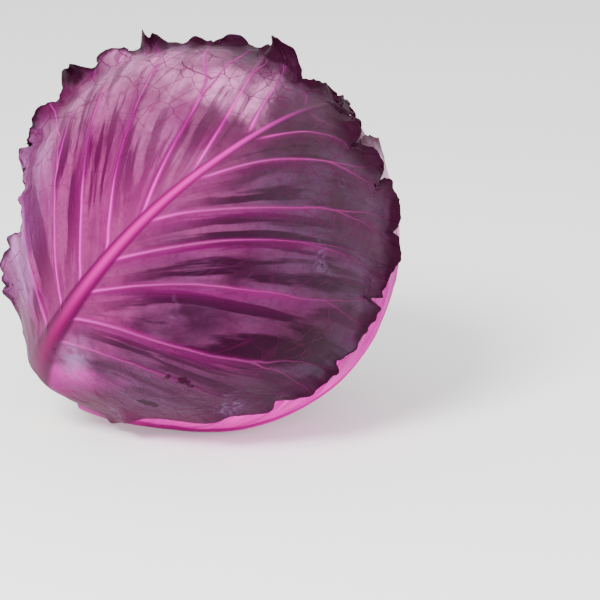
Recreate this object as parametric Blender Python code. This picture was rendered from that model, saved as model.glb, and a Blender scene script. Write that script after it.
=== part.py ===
"""A whole red cabbage head, as picked, lying on its side on a small flat spot.

Metres, +Z up, origin at the middle of the flat spot. The head's axis runs from the cut stem
up to the crown, towards +X. A direction on the head is given by two leaf angles: how far it
lies along the leaf's midrib from the stem, and how far it lies to the side of the midrib.
"""

import math

import bpy
import numpy as np

MM = 0.001

# Head: nearly a ball, drawn out towards the stem and flattened at the crown
HEAD_RADIUS = 90 * MM
AXIS_RISE = math.radians(38.4)
STEM_SWELL = 0.124
STEM_SWELL_ANGLE = math.radians(39)
CROWN_FLATTENING = 0.12
CROWN_STARTS_AT = 0.55
UNEVENNESS = 1.1 * MM

# Where the head rests
FLAT_SPOT_RADIUS = 22 * MM
RESTING_LAYER = 1
PRESSED_IN = 0.3 * MM
EVEN_BELOW = (-0.93, -0.6)
RELIEF_FREE_ANGLE = math.radians(16)
RELIEF_FADE_ANGLE = math.radians(8)
DENT_FULL_BELOW = 40 * MM
DENT_ENDS_AT = 8 * MM

# Stem and the core that it grows into
STEM_RADIUS = 17.5 * MM
STEM_END = 95.5 * MM
CORE_TIP_RADIUS = 12.5 * MM
CORE_TIP_REACH = 6 * MM
STEM_RIM_ROUNDING = 1.5 * MM
STEM_SIDES = 32
CORE_CLEARANCE = 0.5 * MM

# Leaves
LAYER_PITCH = 3.2 * MM
BLADE_THICKNESS = 1.2 * MM
BASE_CLEARANCE = 1.2 * MM
BASE_HALF_WIDTH = math.radians(11)
TIP_HALF_WIDTH = math.radians(12)
OUTLINE_POWER = 2.7
OUTLINE_POINTS = 600
LOBES = 7.3
LOBE_DEPTH = 0.016
LOBES_START_AT = 0.16

# Veins: where they leave the midrib and where they reach the margin
VEIN_START_LINEAR = 0.55
VEIN_END_LINEAR = {-1: 1.55, 1: 1.8}
VEIN_BEND_ALONG = 0.45
VEIN_BEND_FORWARD = {-1: 0.24, 1: 0.36}
MIDRIB_HALF_WIDTH = 6.5 * MM
MIDRIB_TIP_HALF_WIDTH = 1.6 * MM
MIDRIB_HEIGHT = 3.8 * MM
FOOT_SWELL = 0.6
FOOT_FULL_BELOW = 0.04
FOOT_ENDS_AT = 0.20
MIDRIB_TIP_HEIGHT = 0.7 * MM
SIDE_RIB_HALF_WIDTH = 2.2 * MM
SIDE_RIB_HEIGHT = 1.1 * MM
FLUTE_HEIGHT = 0.9 * MM

# Margins
RUFFLE_LENGTH = 36 * MM
RUFFLE_FADE = 13 * MM
ROLL_WIDTH = 15 * MM
LEAST_ROLL = math.radians(12)
MARGIN_SMOOTHING = 3

# Heart
HEART_RINGS = 20
HEART_SECTORS = 36
HEART_STEPS = 3
HEART_STEP_HEIGHT = 1.6 * MM
HEART_TWIST = 1.4

# From the outermost leaf inwards. azimuth is the midrib's turn about the head's axis from the
# front, tip is how far from the stem the leaf ends, and reach is how far it spreads to the left
# and right, all in degrees. rolls are (place, spread, angle) of the stretches of margin that
# curl outwards, place running from the base's right corner (0) over the tip to its left corner
# (1). notches are (place, spread, depth) in the outline, place from base to tip on one side,
# below zero on the left.
LEAVES = (
    dict(name="wrapper_leaf_1", azimuth=36, tip=167, reach=(71, 76), veins=10, rows=3, columns=12,
         ruffle=3.4 * MM, rolls=((0.54, 0.06, 80), (0.78, 0.06, 50), (0.93, 0.04, 45), (0.30, 0.05, 45)),
         notches=((-0.20, 0.09, 0.19),)),
    dict(name="wrapper_leaf_2", azimuth=-61, tip=171, reach=(76, 76), veins=9, rows=3, columns=10,
         ruffle=2.6 * MM, rolls=((0.64, 0.07, 50), (0.12, 0.05, 40)), notches=()),
    dict(name="wrapper_leaf_3", azimuth=169, tip=174, reach=(76, 76), veins=9, rows=3, columns=10,
         ruffle=2.6 * MM, rolls=((0.40, 0.07, 60), (0.72, 0.06, 50)), notches=()),
    dict(name="head_leaf_1", azimuth=74, tip=184, reach=(70, 70), veins=8, rows=3, columns=8,
         ruffle=1.6 * MM, rolls=(), notches=()),
    dict(name="head_leaf_2", azimuth=-106, tip=188, reach=(70, 70), veins=7, rows=3, columns=8,
         ruffle=1.2 * MM, rolls=(), notches=()),
    dict(name="head_leaf_3", azimuth=-6, tip=192, reach=(70, 70), veins=7, rows=3, columns=8,
         ruffle=1.0 * MM, rolls=(), notches=()),
)

# Colours, linear: wrapper leaves, the paler leaves of the closed head, heart and stem
WRAPPER_COLOUR = (0.22, 0.035, 0.17)
HEAD_LEAF_COLOUR = (0.30, 0.05, 0.21)
HEART_COLOUR = (0.35, 0.08, 0.27)
STEM_COLOUR = (0.78, 0.74, 0.58)

CROWN = np.array([math.cos(AXIS_RISE), 0.0, math.sin(AXIS_RISE)])
FRONT = np.array([0.0, -1.0, 0.0])
BESIDE = np.cross(FRONT, CROWN)
DOWN = np.array([0.0, 0.0, -1.0])


def smoothstep(low, high, value):
    t = np.clip((value - low) / (high - low), 0, 1)
    return t * t * (3 - 2 * t)


def unit(vectors):
    return vectors / np.linalg.norm(vectors, axis=-1, keepdims=True)


def dot(a, b):
    return np.sum(a * b, axis=-1)


def midrib_side(leaf):
    """The level direction, square to the head's axis, in which a leaf's midrib bulges."""
    turn = math.radians(leaf["azimuth"])
    return math.cos(turn) * FRONT + math.sin(turn) * BESIDE


def direction(leaf, along, aside):
    """The unit direction at a leaf's angles along its midrib and to the right of it, as seen
    from outside with the stem below."""
    side = midrib_side(leaf)
    right = np.cross(CROWN, side)
    along, aside = np.asarray(along)[..., None], np.asarray(aside)[..., None]
    in_plane = -np.cos(along) * CROWN + np.sin(along) * side
    return np.cos(aside) * in_plane + np.sin(aside) * right


def leaf_angles(leaf, directions):
    """The reverse of direction()."""
    side = midrib_side(leaf)
    right = np.cross(CROWN, side)
    aside = np.arcsin(np.clip(dot(directions, right), -1, 1))
    along = np.arctan2(dot(directions, side), -dot(directions, CROWN))
    return np.where(along < -math.pi / 2, along + 2 * math.pi, along), aside


def layer_radius(directions, layer):
    """How far from the head's centre the outer face of a leaf in this layer lies."""
    towards_crown = dot(directions, CROWN)
    from_stem = np.arccos(np.clip(-towards_crown, -1, 1))
    swell = STEM_SWELL * (1 - np.clip(from_stem / STEM_SWELL_ANGLE, 0, 1)) ** 1.3
    flattening = CROWN_FLATTENING * smoothstep(CROWN_STARTS_AT, 1, towards_crown)
    x, y, z = (directions[..., n] for n in range(3))
    uneven = UNEVENNESS * np.sin(5.1 * x + 2.3 * y + 0.7) * np.sin(4.3 * y - 3.7 * z + 1.9)
    uneven *= smoothstep(EVEN_BELOW[0], EVEN_BELOW[1], z)
    return HEAD_RADIUS * (1 + swell - flattening) + uneven - layer * LAYER_PITCH


def layer_normals(directions, layer):
    """The outward normals of a layer's own smooth surface."""
    nudge = 1e-4
    axis = np.where(np.abs(directions[..., :1]) < 0.8, np.array([1.0, 0, 0]), np.array([0, 1.0, 0]))
    across = unit(np.cross(directions, axis))
    here = directions * layer_radius(directions, layer)[..., None]
    edges = []
    for step in (across, np.cross(directions, across)):
        near = unit(directions + nudge * step)
        edges.append(near * layer_radius(near, layer)[..., None] - here)
    return unit(np.cross(*edges))


RESTING_RADIUS = float(layer_radius(DOWN[None], RESTING_LAYER)[0]) - PRESSED_IN
CENTRE_HEIGHT = math.sqrt(RESTING_RADIUS**2 - FLAT_SPOT_RADIUS**2)


def settle(points):
    """Presses the flat spot into the underside, every layer alike, and stands the head on the ground."""
    out = np.minimum(np.hypot(points[..., 0], points[..., 1]), RESTING_RADIUS)
    dent = np.maximum(np.sqrt(RESTING_RADIUS**2 - out**2) - CENTRE_HEIGHT, 0)
    share = smoothstep(DENT_ENDS_AT, DENT_FULL_BELOW, -points[..., 2])
    settled = points.copy()
    settled[..., 2] = np.maximum(points[..., 2] + dent * share + CENTRE_HEIGHT, 0)
    return settled


def base_angle(layer):
    """The angle from the stem at which a leaf's base meets the stem's side."""
    near_stem = direction(LEAVES[0], math.radians(12), 0.0)
    radius = float(layer_radius(near_stem[None], layer)[0]) - BLADE_THICKNESS
    return math.asin((STEM_RADIUS + BASE_CLEARANCE) / radius)


def outline(leaf, layer, side):
    """The margin on the right (side 1) or left (side -1), from the base's corner to the tip: the
    two leaf angles and the share of the margin's length at each point."""
    base, tip = base_angle(layer), math.radians(leaf["tip"])
    reach = math.radians(leaf["reach"][0 if side < 0 else 1])
    first = math.asin((BASE_HALF_WIDTH / reach) ** (OUTLINE_POWER / 2))
    last = math.pi - math.asin((TIP_HALF_WIDTH / reach) ** (OUTLINE_POWER / 2))
    turn = np.linspace(first, last, OUTLINE_POINTS)
    middle, half = (base + tip) / 2, (tip - base) / 2
    along = -half * np.sign(np.cos(turn)) * np.abs(np.cos(turn)) ** (2 / OUTLINE_POWER)
    aside = reach * np.sin(turn) ** (2 / OUTLINE_POWER)
    steps = np.hypot(np.diff(along) * np.cos(aside[1:]), np.diff(aside))
    share = np.concatenate([[0], np.cumsum(steps)]) / steps.sum()
    lobe = LOBE_DEPTH * np.sin(2 * math.pi * LOBES * share + leaf["azimuth"] + side)
    lobe *= smoothstep(0, LOBES_START_AT, share) * smoothstep(1, 1 - LOBES_START_AT, share)
    for place, spread, depth in leaf["notches"]:
        if place * side > 0:
            lobe -= depth * np.exp(-(((share - abs(place)) / spread) ** 2))
    return middle + along * (1 + lobe), side * aside * (1 + lobe), share


def blade_directions(leaf, layer, rows, columns):
    """A grid of directions: rows follow the side veins out from the midrib to both margins."""
    base, tip = base_angle(layer), math.radians(leaf["tip"])
    row = np.linspace(0, 1, rows + 1)
    start = base + (tip - base) * (VEIN_START_LINEAR * row + (1 - VEIN_START_LINEAR) * row**3)
    step = smoothstep(0, 1, np.linspace(0, 1, columns + 1))
    reach = np.concatenate([-step[:0:-1], step])
    grid = np.zeros((rows + 1, len(reach), 3))
    begin = direction(leaf, start, np.zeros_like(start))
    forward = direction(leaf, start + math.pi / 2, np.zeros_like(start))
    for side in (-1, 1):
        end = VEIN_END_LINEAR[side] * row + (1 - VEIN_END_LINEAR[side]) * row**2
        edge_along, edge_aside, share = outline(leaf, layer, side)
        margin = direction(leaf, np.interp(end, share, edge_along), np.interp(end, share, edge_aside))
        length = np.linalg.norm(margin - begin, axis=-1, keepdims=True)
        ahead = VEIN_BEND_FORWARD[side] * (1 - row[:, None] ** 2) * length * forward
        bend = begin + VEIN_BEND_ALONG * (margin - begin) + ahead
        for column in np.flatnonzero(reach * side >= 0):
            t = abs(reach[column])
            grid[:, column] = (1 - t) ** 2 * begin + 2 * t * (1 - t) * bend + t**2 * margin
    return unit(grid), row * leaf["veins"], reach


def freedom(layer, directions):
    """1 where no leaf further out covers this direction, 0 where one does."""
    free = np.ones(directions.shape[:-1])
    for outer, cover in enumerate(LEAVES[:layer]):
        base, tip = base_angle(outer), math.radians(cover["tip"])
        along, aside = leaf_angles(cover, directions)
        reach = np.radians(np.where(aside < 0, cover["reach"][0], cover["reach"][1]))
        across = np.abs(aside / reach) ** OUTLINE_POWER
        lengthways = np.abs((along - (base + tip) / 2) / ((tip - base) / 2)) ** OUTLINE_POWER
        free *= smoothstep(1.05, 1.5, across + lengthways)
    return free


def margin_of(points, normals):
    """The blade's free margin from the base's right corner over the tip to its left corner:
    points, the directions that lead off the blade, normals and lengths."""
    def around(grid):
        return np.concatenate([grid[:, -1], grid[-1, -2:0:-1], grid[::-1, 0]])
    line, line_normals = around(points), around(normals)
    steps = np.linalg.norm(np.diff(line, axis=0), axis=1)
    length = np.concatenate([[0], np.cumsum(steps)])
    smooth = np.gradient(line, axis=0)
    for _ in range(MARGIN_SMOOTHING):
        smooth[1:-1] = (smooth[:-2] + 2 * smooth[1:-1] + smooth[2:]) / 4
    return line, unit(np.cross(unit(smooth), line_normals)), line_normals, length


def roll_margin(leaf, points, normals, free):
    """Curls the margin outwards and waves it, where nothing covers it. Returns the moved points
    and the normals of the curled blade."""
    line, off_blade, line_normals, length = margin_of(points, normals)
    gaps = np.linalg.norm(points[:, :, None] - line, axis=-1)
    nearest, gap = gaps.argmin(-1), gaps.min(-1)
    place = length[nearest] / length[-1]
    angle = np.full(gap.shape, LEAST_ROLL)
    for middle, spread, degrees in leaf["rolls"]:
        angle += math.radians(degrees) * np.exp(-(((place - middle) / spread) ** 2))
    angle *= free
    into = np.maximum(ROLL_WIDTH - gap, 0)
    turned = np.maximum(angle * into / ROLL_WIDTH, 1e-6)
    drawn_in = (np.sin(turned) / turned - 1) * into
    lifted = (1 - np.cos(turned)) / turned * into
    wave = 0.5 - 0.5 * np.cos(2 * math.pi * length[nearest] / RUFFLE_LENGTH)
    lifted = lifted + leaf["ruffle"] * wave * free * np.exp(-gap / RUFFLE_FADE)
    moved = points + off_blade[nearest] * drawn_in[..., None] + normals * lifted[..., None]
    turned = turned[..., None]
    return moved, unit(normals * np.cos(turned) - off_blade[nearest] * np.sin(turned))


def rib_relief(leaf, directions, points, vein, reach):
    """How far the midrib, the side ribs and the fluted blade between them stand out."""
    along, aside = leaf_angles(leaf, directions)
    left = 1 - np.clip(along / math.radians(leaf["tip"]), 0, 1)
    across = np.linalg.norm(points, axis=-1) * np.abs(aside)
    half_width = MIDRIB_TIP_HALF_WIDTH + (MIDRIB_HALF_WIDTH - MIDRIB_TIP_HALF_WIDTH) * left
    height = MIDRIB_TIP_HEIGHT + (MIDRIB_HEIGHT - MIDRIB_TIP_HEIGHT) * left
    swollen = 1 + FOOT_SWELL * smoothstep(FOOT_ENDS_AT, FOOT_FULL_BELOW, 1 - left)
    midrib = swollen * height * np.exp(-((across / (half_width * swollen)) ** 2))
    rows_per_vein = leaf["rows"]
    across_veins = np.gradient(points, axis=0) * rows_per_vein
    along_veins = unit(np.gradient(points, axis=1))
    spacing = np.linalg.norm(np.cross(across_veins, along_veins), axis=-1)
    beside = np.abs(vein - np.round(vein))[:, None] * spacing
    is_vein = ((np.round(vein) > 0) & (np.round(vein) < leaf["veins"]))[:, None]
    outwards = 1 - np.abs(reach)[None]
    side_rib = is_vein * SIDE_RIB_HEIGHT * outwards**0.6 * np.exp(-((beside / SIDE_RIB_HALF_WIDTH) ** 2))
    flute = FLUTE_HEIGHT * np.cos(math.pi * (vein - np.round(vein)))[:, None] ** 2
    flute = flute * np.sin(math.pi * np.abs(reach))[None] * is_vein
    return midrib + side_rib + flute


def closed_blade(name, outer, inner):
    """One solid between two grids of points, with the same triangles on both faces."""
    rows, columns = outer.shape[:2]
    count = rows * columns
    number = np.arange(count).reshape(rows, columns)
    a, b, c, d = number[:-1, :-1], number[:-1, 1:], number[1:, 1:], number[1:, :-1]
    face = np.concatenate([np.stack([a, b, c], -1).reshape(-1, 3), np.stack([a, c, d], -1).reshape(-1, 3)])
    rim = np.concatenate([number[0, :-1], number[:-1, -1], number[-1, :0:-1], number[:0:-1, 0]])
    after = np.roll(rim, -1)
    walls = np.stack([after, rim, rim + count, after + count], -1)
    mesh = bpy.data.meshes.new(name)
    points = np.concatenate([outer.reshape(-1, 3), inner.reshape(-1, 3)])
    mesh.from_pydata(points.tolist(), [], face.tolist() + (face[:, ::-1] + count).tolist() + walls.tolist())
    return mesh


def make_material(name, colour, roughness):
    material = bpy.data.materials.new(name)
    material.use_nodes = True
    shader = material.node_tree.nodes["Principled BSDF"]
    shader.inputs["Base Color"].default_value = (*colour, 1)
    shader.inputs["Roughness"].default_value = roughness
    shader.inputs["Metallic"].default_value = 0.0
    return material


def add_object(name, mesh, material):
    obj = bpy.data.objects.new(name, mesh)
    bpy.context.scene.collection.objects.link(obj)
    obj.data.materials.append(material)
    obj.data.shade_smooth()
    return obj


def add_leaf(layer, leaf):
    rows = leaf["veins"] * leaf["rows"]
    directions, vein, reach = blade_directions(leaf, layer, rows, leaf["columns"])
    points = directions * layer_radius(directions, layer)[..., None]
    free = freedom(layer, directions)
    from_ground = np.arccos(np.clip(dot(directions, DOWN), -1, 1))
    clear = smoothstep(RELIEF_FREE_ANGLE, RELIEF_FREE_ANGLE + RELIEF_FADE_ANGLE, from_ground)
    relief = rib_relief(leaf, directions, points, vein, reach) * free * clear
    sheet, normals = roll_margin(leaf, points, layer_normals(directions, layer), free * clear)
    outer = settle(sheet + normals * relief[..., None])
    inner = settle(sheet - normals * BLADE_THICKNESS)
    colour = WRAPPER_COLOUR if leaf["name"].startswith("wrapper") else HEAD_LEAF_COLOUR
    material = make_material(leaf["name"], colour, 0.45)
    return add_object(leaf["name"], closed_blade(leaf["name"], outer, inner), material)


def lathe(name, profile, sides, start=0.0):
    """A closed turned solid about +Z from (radius, height) pairs; both ends close on the axis."""
    points = [(0, 0, profile[0][1])]
    for radius, height in profile:
        for n in range(sides):
            turn = start + 2 * math.pi * n / sides
            points.append((radius * math.cos(turn), radius * math.sin(turn), height))
    points.append((0, 0, profile[-1][1]))
    faces = []
    for n in range(sides):
        following = (n + 1) % sides
        faces.append((0, 1 + following, 1 + n))
        for ring in range(len(profile) - 1):
            low, high = 1 + ring * sides, 1 + (ring + 1) * sides
            faces.append((low + n, low + following, high + following, high + n))
        last = 1 + (len(profile) - 1) * sides
        faces.append((last + n, last + following, len(points) - 1))
    mesh = bpy.data.meshes.new(name)
    mesh.from_pydata(points, [], faces)
    return mesh


def stem_profile(extra=0.0):
    """The stem's half-section along the axis, from the cut end up to the core's blunt tip."""
    top = CORE_TIP_REACH
    profile = [(STEM_RADIUS - STEM_RIM_ROUNDING + extra, -STEM_END - extra)]
    profile.append((STEM_RADIUS + extra, -STEM_END + STEM_RIM_ROUNDING))
    profile.append((STEM_RADIUS + extra, -STEM_END * 0.75))
    profile.append((CORE_TIP_RADIUS + extra, top - CORE_TIP_RADIUS))
    for n in range(1, 4):
        turn = n / 4 * math.pi / 2
        profile.append(((CORE_TIP_RADIUS + extra) * math.cos(turn), top - CORE_TIP_RADIUS
                        + (CORE_TIP_RADIUS + extra) * math.sin(turn)))
    return profile


def onto_axis(obj):
    """Stands an object made about +Z on the head's axis, its origin at the head's centre."""
    obj.rotation_euler = (0, math.pi / 2 - AXIS_RISE, 0)
    obj.location = (0, 0, CENTRE_HEIGHT)


def add_stem():
    stem = add_object("stem", lathe("stem", stem_profile(), STEM_SIDES),
                      make_material("stem", STEM_COLOUR, 0.6))
    stem.data.set_sharp_from_angle(angle=math.radians(40))
    onto_axis(stem)
    return stem


def add_heart():
    """The packed young leaves: a ball with the edges of its outer leaves winding up to the
    crown, and a blind hole that the core fills."""
    from_stem = np.linspace(0, math.pi, HEART_RINGS + 1)[1:-1, None]
    turn = np.linspace(0, 2 * math.pi, HEART_SECTORS, endpoint=False)[None]
    up = np.broadcast_to(-np.cos(from_stem), (HEART_RINGS - 1, HEART_SECTORS))
    level = np.stack([np.sin(from_stem) * np.cos(turn), np.sin(from_stem) * np.sin(turn)], -1)
    directions = up[..., None] * CROWN + level[..., :1] * FRONT + level[..., 1:] * BESIDE
    winding = (turn / (2 * math.pi) * HEART_STEPS + HEART_TWIST * from_stem / math.pi) % 1
    step = HEART_STEP_HEIGHT * winding * np.sin(from_stem) ** 0.5
    points = directions * (layer_radius(directions, len(LEAVES)) - step)[..., None]
    poles = [pole * layer_radius(pole[None], len(LEAVES))[0] for pole in (-CROWN, CROWN)]
    rings = settle(points).reshape(-1, 3)
    ends = settle(np.array(poles))
    faces = []
    last = (HEART_RINGS - 2) * HEART_SECTORS
    bottom, top = len(rings), len(rings) + 1
    for n in range(HEART_SECTORS):
        following = (n + 1) % HEART_SECTORS
        faces.append((bottom, n, following))
        faces.append((top, last + following, last + n))
        for ring in range(0, last, HEART_SECTORS):
            faces.append((ring + n, ring + HEART_SECTORS + n, ring + HEART_SECTORS + following))
            faces.append((ring + n, ring + HEART_SECTORS + following, ring + following))
    mesh = bpy.data.meshes.new("heart")
    mesh.from_pydata(np.concatenate([rings, ends]).tolist(), [], faces)
    heart = add_object("heart", mesh, make_material("heart", HEART_COLOUR, 0.5))
    hole = add_object("core_cutter", lathe("core_cutter", stem_profile(CORE_CLEARANCE), STEM_SIDES),
                      heart.data.materials[0])
    onto_axis(hole)
    hole.hide_render = True
    hole.display_type = "WIRE"
    cut = heart.modifiers.new("core_hole", "BOOLEAN")
    cut.operation = "DIFFERENCE"
    cut.object = hole
    return heart


def main():
    for obj in list(bpy.data.objects):
        bpy.data.objects.remove(obj)
    add_stem()
    add_heart()
    for layer, leaf in enumerate(LEAVES):
        add_leaf(layer, leaf)


main()
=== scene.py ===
"""The looks of a whole red cabbage head that lies on its side on a pale table.

Metres, +Z up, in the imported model's frame: the origin is the middle of the small flat spot that
the head rests on, and the head's axis rises towards +X from the cut stem to the crown.
"""

import math

import bmesh
import bpy
import numpy as np
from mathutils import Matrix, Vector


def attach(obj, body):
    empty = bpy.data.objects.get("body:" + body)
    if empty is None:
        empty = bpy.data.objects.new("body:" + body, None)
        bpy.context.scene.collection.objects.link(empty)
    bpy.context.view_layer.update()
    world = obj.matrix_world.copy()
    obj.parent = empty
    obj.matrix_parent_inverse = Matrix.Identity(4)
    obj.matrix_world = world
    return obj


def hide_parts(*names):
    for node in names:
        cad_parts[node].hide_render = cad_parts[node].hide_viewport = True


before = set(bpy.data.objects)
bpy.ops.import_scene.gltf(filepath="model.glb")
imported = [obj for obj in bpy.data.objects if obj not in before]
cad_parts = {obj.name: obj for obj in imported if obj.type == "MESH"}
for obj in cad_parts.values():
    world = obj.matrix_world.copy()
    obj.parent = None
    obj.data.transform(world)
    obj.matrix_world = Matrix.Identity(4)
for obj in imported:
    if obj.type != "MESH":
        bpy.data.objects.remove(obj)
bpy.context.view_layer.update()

# The outermost wrapper leaf. A thin, waxy, living blade that a thick midrib and forking side
# veins hold out, it grew from the foot of the stem and wraps half the head. Its margin is ragged
# and frilled, and curls back off the head where nothing holds it.

MM = 0.001
HEAD_RADIUS = 90 * MM
AXIS_RISE = math.radians(38.4)
STEM_SWELL = 0.124
STEM_SWELL_ANGLE = math.radians(39)
CROWN_FLATTENING = 0.01
CROWN_STARTS_AT = 0.55
UNEVENNESS = 1.1 * MM
EVEN_BELOW = (-0.93, -0.6)
FLAT_SPOT_RADIUS = 22 * MM
PRESSED_IN = 0.3 * MM
EVEN_NEAR_GROUND = math.radians(16)
EVEN_FADES_OVER = math.radians(8)
DENT_FULL_BELOW = 40 * MM
DENT_ENDS_AT = 8 * MM
STEM_RADIUS = 17.5 * MM
BESIDE_STEM = math.radians(12)
LAYER_PITCH = 3.2 * MM
CROWN_TIGHTENING = 0.6
TIGHTER_FROM = 0.92
BLADE_THICKNESS = 1.0 * MM
TIP_HALF_WIDTH = math.radians(12)
OUTLINE_POWER = 2.7
OUTLINE_POINTS = 900
LOBES = 7.3
LOBE_DEPTH = 0.016
CORNER_SHARE = 0.04
LOBES_START_AT = 0.16
VEIN_START_LINEAR = 0.55
VEIN_END_LINEAR = {-1: 1.85, 1: 1.8}
VEIN_BEND_ALONG = 0.45
VEIN_BEND_FORWARD = {-1: 0.27, 1: 0.36}
ROLL_WIDTH = 9 * MM
LEAST_ROLL = math.radians(8)
FLAP_SPACING = 9 * MM
FLAP_ROLL = math.radians(48)
MARGIN_SMOOTHING = 40
TEETH_REACH_IN = 5 * MM
TORN_BETWEEN = ((0.06, 0.24), (1, 0.94))

CROWN = np.array([math.cos(AXIS_RISE), 0.0, math.sin(AXIS_RISE)])
FRONT = np.array([0.0, -1.0, 0.0])
BESIDE = np.cross(FRONT, CROWN)
DOWN = np.array([0.0, 0.0, -1.0])

# From the outermost leaf inwards. azimuth is the midrib's turn about the head's axis, tip is how
# far from the stem the leaf ends, and reach is its spread to the left and right. base is its spread
# where it meets the stem, and wrap how far its corners there reach back round the stem. All are in
# degrees. rolls are (place, spread, angle, width) of its margin's curls: place runs from the base's
# right corner (0) over the tip to the left one (1), and width is in mm. notches are (place, spread,
# depth), with place below zero on the left.
PLAIN_LEAF = dict(reach=(70, 70), base=(14, 14), wrap=(5, 5), rolls=(), notches=())
LEAVES = (
    dict(name="wrapper_leaf_1", azimuth=36, tip=167, reach=(71, 76), base=(13, 21), wrap=(5, 12),
         veins=10,
         rolls=((0.556, 0.024, 125, 16), (0.485, 0.034, -60, 8), (0.592, 0.016, -45, 9),
                (0.622, 0.007, 105, 5.5), (0.645, 0.006, 110, 5), (0.68, 0.006, 130, 6),
                (0.722, 0.055, 20, 18), (0.748, 0.009, 120, 9), (0.79, 0.022, 75, 13),
                (0.829, 0.012, 45, 12), (0.952, 0.020, 60, 12), (0.30, 0.05, 40, 12)),
         notches=((-0.24, 0.09, 0.27), (-1.0, 0.13, 0.17), (1.0, 0.10, 0.17))),
    dict(PLAIN_LEAF, name="wrapper_leaf_2", azimuth=-61, tip=171, reach=(76, 76), veins=9,
         rolls=((0.64, 0.07, 50, 14), (0.12, 0.05, 12, 14))),
    dict(PLAIN_LEAF, name="wrapper_leaf_3", azimuth=169, tip=174, reach=(76, 76), veins=9,
         rolls=((0.40, 0.07, 60, 15), (0.72, 0.06, 50, 14))),
    dict(PLAIN_LEAF, name="head_leaf_1", azimuth=74, tip=184, veins=8),
    dict(PLAIN_LEAF, name="head_leaf_2", azimuth=-106, tip=188, veins=7),
    dict(PLAIN_LEAF, name="head_leaf_3", azimuth=-6, tip=192, veins=7),
)


def smoothstep(low, high, value):
    t = np.clip((value - low) / (high - low), 0, 1)
    return t * t * (3 - 2 * t)


def unit(vectors):
    return vectors / np.linalg.norm(vectors, axis=-1, keepdims=True)


def dot(a, b):
    return np.sum(a * b, axis=-1)


def midrib_side(leaf):
    """The direction, square to the head's axis, in which a leaf's midrib bulges."""
    turn = math.radians(leaf["azimuth"])
    return math.cos(turn) * FRONT + math.sin(turn) * BESIDE


def direction(leaf, along, aside):
    """The unit direction at a leaf's angles along its midrib and to the right of it, as seen
    from outside with the stem below."""
    side = midrib_side(leaf)
    right = np.cross(CROWN, side)
    along, aside = np.asarray(along)[..., None], np.asarray(aside)[..., None]
    in_plane = -np.cos(along) * CROWN + np.sin(along) * side
    return np.cos(aside) * in_plane + np.sin(aside) * right


def leaf_angles(leaf, directions):
    """The reverse of direction()."""
    side = midrib_side(leaf)
    right = np.cross(CROWN, side)
    aside = np.arcsin(np.clip(dot(directions, right), -1, 1))
    along = np.arctan2(dot(directions, side), -dot(directions, CROWN))
    return np.where(along < -math.pi / 2, along + 2 * math.pi, along), aside


def layer_radius(directions, layer):
    """How far from the head's centre the outer face of a leaf in this layer lies."""
    towards_crown = dot(directions, CROWN)
    from_stem = np.arccos(np.clip(-towards_crown, -1, 1))
    swell = STEM_SWELL * (1 - np.clip(from_stem / STEM_SWELL_ANGLE, 0, 1)) ** 1.3
    flattening = CROWN_FLATTENING * smoothstep(CROWN_STARTS_AT, 1, towards_crown)
    x, y, z = (directions[..., n] for n in range(3))
    uneven = UNEVENNESS * np.sin(5.1 * x + 2.3 * y + 0.7) * np.sin(4.3 * y - 3.7 * z + 1.9)
    uneven *= smoothstep(*EVEN_BELOW, z)
    pitch = LAYER_PITCH * (1 - CROWN_TIGHTENING * smoothstep(TIGHTER_FROM, 1, towards_crown))
    return HEAD_RADIUS * (1 + swell - flattening) + uneven - layer * pitch


def layer_normals(directions, layer):
    """The outward normals of a layer's own smooth surface."""
    nudge = 1e-4
    axis = np.where(np.abs(directions[..., :1]) < 0.8, np.array([1.0, 0, 0]), np.array([0, 1.0, 0]))
    across = unit(np.cross(directions, axis))
    here = directions * layer_radius(directions, layer)[..., None]
    edges = []
    for step in (across, np.cross(directions, across)):
        near = unit(directions + nudge * step)
        edges.append(near * layer_radius(near, layer)[..., None] - here)
    return unit(np.cross(*edges))


RESTING_RADIUS = float(layer_radius(DOWN[None], 1)[0]) - PRESSED_IN
CENTRE_HEIGHT = math.sqrt(RESTING_RADIUS**2 - FLAT_SPOT_RADIUS**2)


def settle(points):
    """Presses the flat spot into the underside and stands the head on the table."""
    out = np.minimum(np.hypot(points[..., 0], points[..., 1]), RESTING_RADIUS)
    dent = np.maximum(np.sqrt(RESTING_RADIUS**2 - out**2) - CENTRE_HEIGHT, 0)
    share = smoothstep(DENT_ENDS_AT, DENT_FULL_BELOW, -points[..., 2])
    settled = points.copy()
    settled[..., 2] = np.maximum(points[..., 2] + dent * share + CENTRE_HEIGHT, 0)
    return settled


def base_angle(layer):
    """The angle from the stem at which a leaf's base meets the stem's side."""
    near_stem = direction(LEAVES[0], BESIDE_STEM, 0.0)
    radius = float(layer_radius(near_stem[None], layer)[0]) - BLADE_THICKNESS
    return math.asin(STEM_RADIUS / radius)


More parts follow.
